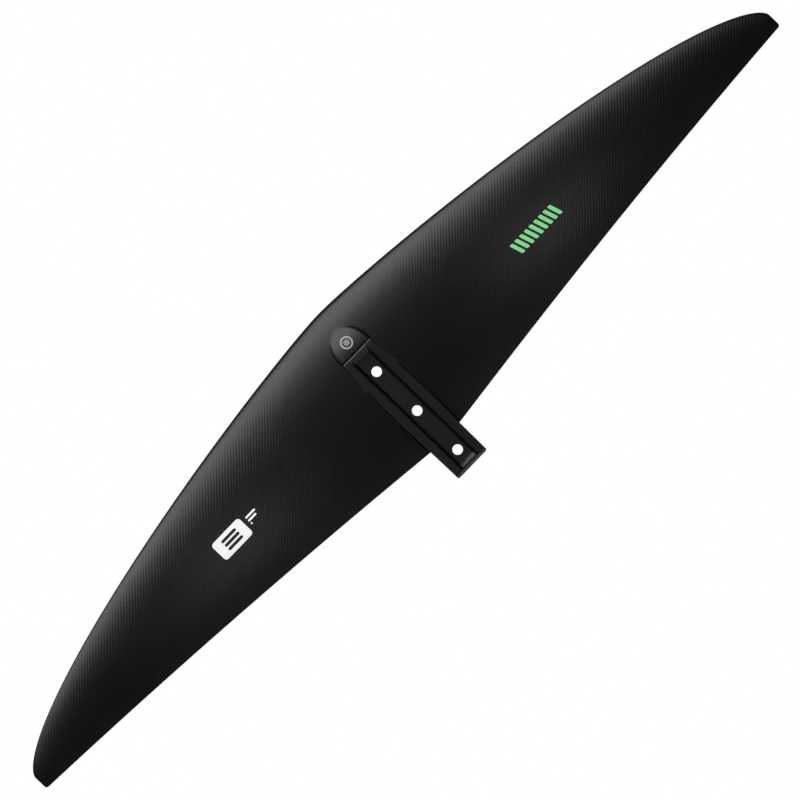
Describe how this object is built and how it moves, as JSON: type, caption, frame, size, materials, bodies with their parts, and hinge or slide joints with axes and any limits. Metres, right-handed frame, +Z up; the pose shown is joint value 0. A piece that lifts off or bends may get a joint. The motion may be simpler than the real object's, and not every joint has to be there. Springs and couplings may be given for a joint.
{
  "type": "hydrofoil front wing",
  "caption": "Carbon hydrofoil front wing with a channelled centre saddle that bolts under a fuselage.",
  "frame": {"origin": "axis of the middle bolt hole, at the saddle's channel floor", "axes": "+X along the span, +Y aft towards the trailing edge and the tail tongue, +Z up out of the channel towards the fuselage"},
  "size_m": [0.85, 0.1728, 0.0366],
  "materials": {
    "carbon": "satin",
    "mount_laminate": "satin",
    "laminate": "matte",
    "foam": "matte",
    "sleeve": "satin",
    "white_print": "satin",
    "grey_print": "satin",
    "green_print": "satin"
  },
  "bodies": {
    "root": {"accent_mark": "green_print", "bolt_sleeve_front": "sleeve", "bolt_sleeve_middle": "sleeve", "bolt_sleeve_rear": "sleeve", "front_core_accent_side": "foam", "front_core_badge_side": "foam", "keel_fairing": "mount_laminate", "lower_skin": "carbon", "nose_emblem": "grey_print", "nose_fairing": "mount_laminate", "rear_core_accent_side": "foam", "rear_core_badge_side": "foam", "root_bed": "laminate", "root_block": "laminate", "saddle": "mount_laminate", "shear_web_accent_side": "laminate", "shear_web_badge_side": "laminate", "size_badge": "white_print", "spar_cap_lower_accent_side": "laminate", "spar_cap_lower_badge_side": "laminate", "spar_cap_upper_accent_side": "laminate", "spar_cap_upper_badge_side": "laminate", "spar_core_accent_side": "foam", "spar_core_badge_side": "foam", "tip_cap_accent_side": "carbon", "tip_cap_badge_side": "carbon", "tip_plug_accent_side": "laminate", "tip_plug_badge_side": "laminate", "trailing_filler_accent_side": "laminate", "trailing_filler_badge_side": "laminate", "upper_skin": "carbon"}
  },
  "joints": []
}
